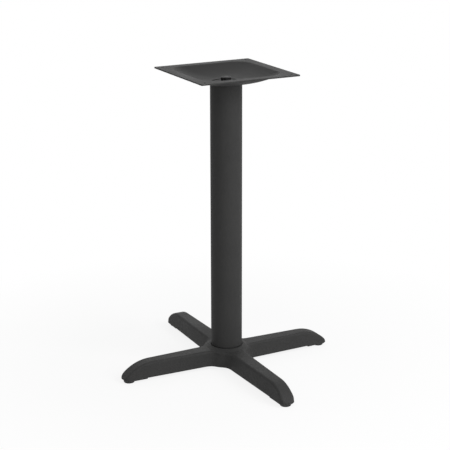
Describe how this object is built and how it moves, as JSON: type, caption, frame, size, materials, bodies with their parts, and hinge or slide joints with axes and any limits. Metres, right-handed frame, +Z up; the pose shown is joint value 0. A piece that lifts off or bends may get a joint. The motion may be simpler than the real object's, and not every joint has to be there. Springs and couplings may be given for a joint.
{
  "type": "cast iron table base",
  "caption": "Pedestal table base: cast cross foot with drooped toes, round tube column and dished square top plate, clamped by a tie rod and standing on screw-in glides.",
  "frame": {"origin": "on the floor, on the axis of the column, at the middle of the cross foot", "axes": "+Z up along the column, +X along the short pair of legs, +Y along the long pair"},
  "size_m": [0.5616, 0.6206, 0.732],
  "materials": {
    "iron_coat": "fine textured black powder coat on cast iron",
    "steel_coat": "fine textured black powder coat on steel",
    "rod_steel": "zinc plated threaded steel",
    "dark_fastener": "black oxide steel",
    "glide_plastic": "moulded black nylon"
  },
  "bodies": {
    "frame": {"base_casting": "iron_coat", "column_tube": "steel_coat", "top_plate": "steel_coat", "tie_rod": "dark_fastener", "top_washer": "dark_fastener", "top_nut": "dark_fastener", "bottom_washer": "dark_fastener", "bottom_nut": "dark_fastener"},
    "glide_1": {"glide_stud_1": "rod_steel", "glide_foot_1": "glide_plastic"},
    "glide_2": {"glide_stud_2": "rod_steel", "glide_foot_2": "glide_plastic"},
    "glide_3": {"glide_stud_3": "rod_steel", "glide_foot_3": "glide_plastic"},
    "glide_4": {"glide_stud_4": "rod_steel", "glide_foot_4": "glide_plastic"}
  },
  "joints": [
    {"name": "glide_1_adjust", "type": "slide", "parent": "frame", "child": "glide_1", "axis": [0, 0, -1], "range_m": [0, 0.007]},
    {"name": "glide_2_adjust", "type": "slide", "parent": "frame", "child": "glide_2", "axis": [0, 0, -1], "range_m": [0, 0.007]},
    {"name": "glide_3_adjust", "type": "slide", "parent": "frame", "child": "glide_3", "axis": [0, 0, -1], "range_m": [0, 0.007]},
    {"name": "glide_4_adjust", "type": "slide", "parent": "frame", "child": "glide_4", "axis": [0, 0, -1], "range_m": [0, 0.007]}
  ]
}
